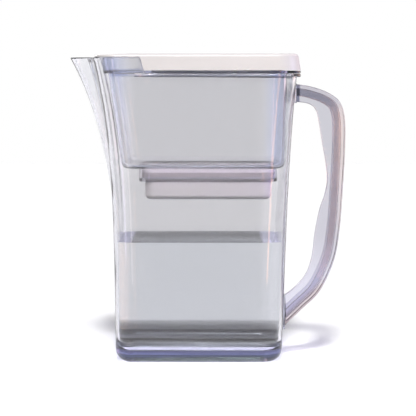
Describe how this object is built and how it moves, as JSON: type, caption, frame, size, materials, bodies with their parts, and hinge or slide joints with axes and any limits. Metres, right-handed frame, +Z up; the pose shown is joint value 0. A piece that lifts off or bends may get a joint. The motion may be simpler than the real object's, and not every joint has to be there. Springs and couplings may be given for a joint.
{
  "type": "water filter pitcher",
  "caption": "Clear water filter pitcher with beak spout and side handle, a lift-out reservoir holding a wide filter cartridge, and a white lid with a flip door.",
  "frame": {"origin": "centre of the foot, on the surface that the pitcher stands on", "axes": "+Z up, -X towards the spout, +X towards the handle, +Y across the pitcher"},
  "size_m": [0.2385, 0.1242, 0.263],
  "materials": {
    "clear_body": "clear moulded plastic, polished",
    "clear_handle": "clear moulded plastic with a faint pink edge, polished",
    "clear_reservoir": "clear moulded plastic, polished",
    "white_lid": "white moulded plastic, satin",
    "white_door": "white moulded plastic, satin",
    "cartridge_shell": "pale warm moulded plastic, fine matt",
    "cartridge_cover": "pale moulded plastic, fine matt",
    "seal_rubber": "soft moulded seal",
    "felt": "pressed filter felt",
    "carbon": "granular activated carbon",
    "resin": "fine resin beads",
    "mineral": "ceramic mineral beads"
  },
  "bodies": {
    "jug": {"pitcher_body": "clear_body", "handle": "clear_handle"},
    "reservoir": {"reservoir": "clear_reservoir"},
    "cartridge": {"cartridge_housing": "cartridge_shell", "cartridge_cover": "cartridge_cover", "cartridge_seal": "seal_rubber", "inlet_felt": "felt", "carbon_bed": "carbon", "upper_felt": "felt", "resin_bed": "resin", "lower_felt": "felt", "mineral_bed": "mineral", "outlet_felt": "felt"},
    "lid": {"lid_cover": "white_lid"},
    "door": {"flip_door": "white_door"}
  },
  "joints": [
    {"name": "reservoir_lift", "type": "slide", "parent": "jug", "child": "reservoir", "axis": [0, 0, 1], "range_m": [0, 0.135]},
    {"name": "cartridge_lift", "type": "slide", "parent": "reservoir", "child": "cartridge", "axis": [0, 0, 1], "range_m": [0, 0.04]},
    {"name": "lid_lift", "type": "slide", "parent": "reservoir", "child": "lid", "axis": [0, 0, 1], "range_m": [0, 0.06]},
    {"name": "door_hinge", "type": "hinge", "parent": "lid", "child": "door", "pos_m": [-0.02, 0, 0.2604], "axis": [0, -1, 0], "range_deg": [0, 100]}
  ]
}
